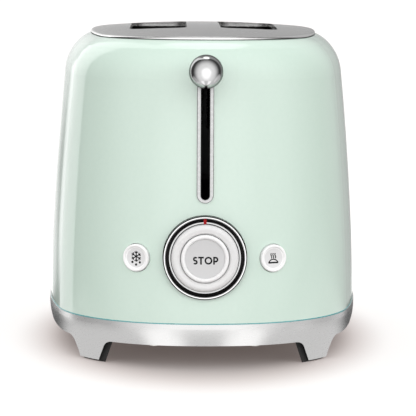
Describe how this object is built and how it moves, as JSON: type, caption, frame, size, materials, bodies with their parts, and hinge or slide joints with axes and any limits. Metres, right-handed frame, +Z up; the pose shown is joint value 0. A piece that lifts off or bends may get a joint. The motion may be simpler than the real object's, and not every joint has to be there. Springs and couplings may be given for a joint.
{
  "type": "pop-up toaster",
  "caption": "Retro oval pop-up toaster with bread slots in a domed steel top, a ball lever, a browning dial around a stop button, side buttons and a chrome base on legs.",
  "frame": {"origin": "middle of the overall length and width, on the plane the feet stand on", "axes": "-Y is the lever end, +X is the right side as seen from the lever end, +Z is up"},
  "size_m": [0.1964, 0.3162, 0.2],
  "materials": {
    "enamel": "gloss enamel, mint green",
    "polished_steel": "polished stainless steel",
    "satin_chrome": "satin",
    "chrome": "polished",
    "rubber": "matte",
    "black_plastic": "matte",
    "black_metal": "black coating on steel",
    "white_plastic": "silvery white, satin",
    "red_plastic": "gloss",
    "circuit_board": "lacquered laminate",
    "sheet_steel": "zinc plated",
    "tray_aluminium": "plain",
    "soft_iron": "plain",
    "copper_winding": "lacquered winding",
    "mica": "mica sheet",
    "heating_ribbon": "bare resistance ribbon"
  },
  "bodies": {
    "toaster": {"base_pan": "sheet_steel", "base_ring": "satin_chrome", "base_screws": "sheet_steel", "body_shell": "enamel", "browning_encoder": "black_plastic", "control_board": "circuit_board", "control_carrier": "black_plastic", "cord_gland": "rubber", "dial_bezel": "chrome", "element_board_centre": "mica", "element_board_left": "mica", "element_board_right": "mica", "element_ribbon_centre": "heating_ribbon", "element_ribbon_left": "heating_ribbon", "element_ribbon_right": "heating_ribbon", "front_bulkhead": "sheet_steel", "guide_rods": "sheet_steel", "heat_shield_left": "sheet_steel", "heat_shield_right": "sheet_steel", "lever_trim": "chrome", "magnet_coil": "copper_winding", "magnet_core": "soft_iron", "mains_switch": "black_plastic", "push_switches": "sheet_steel", "rear_bulkhead": "sheet_steel", "return_spring": "sheet_steel", "rod_bracket_lower": "sheet_steel", "rod_bracket_upper": "sheet_steel", "rubber_feet": "rubber", "slot_liner": "black_plastic", "terminal_block": "black_plastic", "top_plate": "polished_steel"},
    "lever": {"carriage_slide": "black_plastic", "carriage_arms": "sheet_steel", "armature_plate": "soft_iron", "lever_stem": "black_metal", "lever_knob": "chrome"},
    "guide_left_outer": {"guide_left_outer": "sheet_steel"},
    "guide_left_inner": {"guide_left_inner": "sheet_steel"},
    "guide_right_inner": {"guide_right_inner": "sheet_steel"},
    "guide_right_outer": {"guide_right_outer": "sheet_steel"},
    "dial": {"dial_knob": "white_plastic", "dial_skirt": "chrome", "dial_pointer": "red_plastic"},
    "stop": {"stop_button": "white_plastic"},
    "defrost": {"defrost_button": "white_plastic"},
    "reheat": {"reheat_button": "white_plastic"},
    "tray": {"crumb_tray": "tray_aluminium", "tray_handle": "satin_chrome"}
  },
  "joints": [
    {"name": "lever_slide", "type": "slide", "parent": "toaster", "child": "lever", "axis": [0, 0, -1], "range_m": [0, 0.072], "stiffness_N_per_m": 40, "springref_m": -0.15, "deforming": ["return_spring"]},
    {"name": "guide_left_outer_close", "type": "slide", "parent": "toaster", "child": "guide_left_outer", "axis": [1, 0, 0], "range_m": [0, 0.007]},
    {"name": "guide_left_inner_close", "type": "slide", "parent": "toaster", "child": "guide_left_inner", "axis": [-1, 0, 0], "range_m": [0, 0.007]},
    {"name": "guide_right_inner_close", "type": "slide", "parent": "toaster", "child": "guide_right_inner", "axis": [1, 0, 0], "range_m": [0, 0.007]},
    {"name": "guide_right_outer_close", "type": "slide", "parent": "toaster", "child": "guide_right_outer", "axis": [-1, 0, 0], "range_m": [0, 0.007]},
    {"name": "dial_turn", "type": "hinge", "parent": "toaster", "child": "dial", "pos_m": [0, -0.13698, 0.0671], "axis": [0, -1, 0], "range_deg": [-135, 135]},
    {"name": "stop_push", "type": "slide", "parent": "toaster", "child": "stop", "axis": [0, 1, 0], "range_m": [0, 0.002], "stiffness_N_per_m": 400, "springref_m": -0.001},
    {"name": "defrost_push", "type": "slide", "parent": "toaster", "child": "defrost", "axis": [0.3898, 0.9209, 0], "range_m": [0, 0.002], "stiffness_N_per_m": 400, "springref_m": -0.001},
    {"name": "reheat_push", "type": "slide", "parent": "toaster", "child": "reheat", "axis": [-0.3898, 0.9209, 0], "range_m": [0, 0.002], "stiffness_N_per_m": 400, "springref_m": -0.001},
    {"name": "tray_slide", "type": "slide", "parent": "toaster", "child": "tray", "axis": [0, 1, 0], "range_m": [0, 0.207]}
  ],
  "couplings": [
    {"joint": "guide_left_outer_close", "follows": "lever_slide", "ratio": 0.0972},
    {"joint": "guide_left_inner_close", "follows": "lever_slide", "ratio": 0.0972},
    {"joint": "guide_right_inner_close", "follows": "lever_slide", "ratio": 0.0972},
    {"joint": "guide_right_outer_close", "follows": "lever_slide", "ratio": 0.0972}
  ]
}
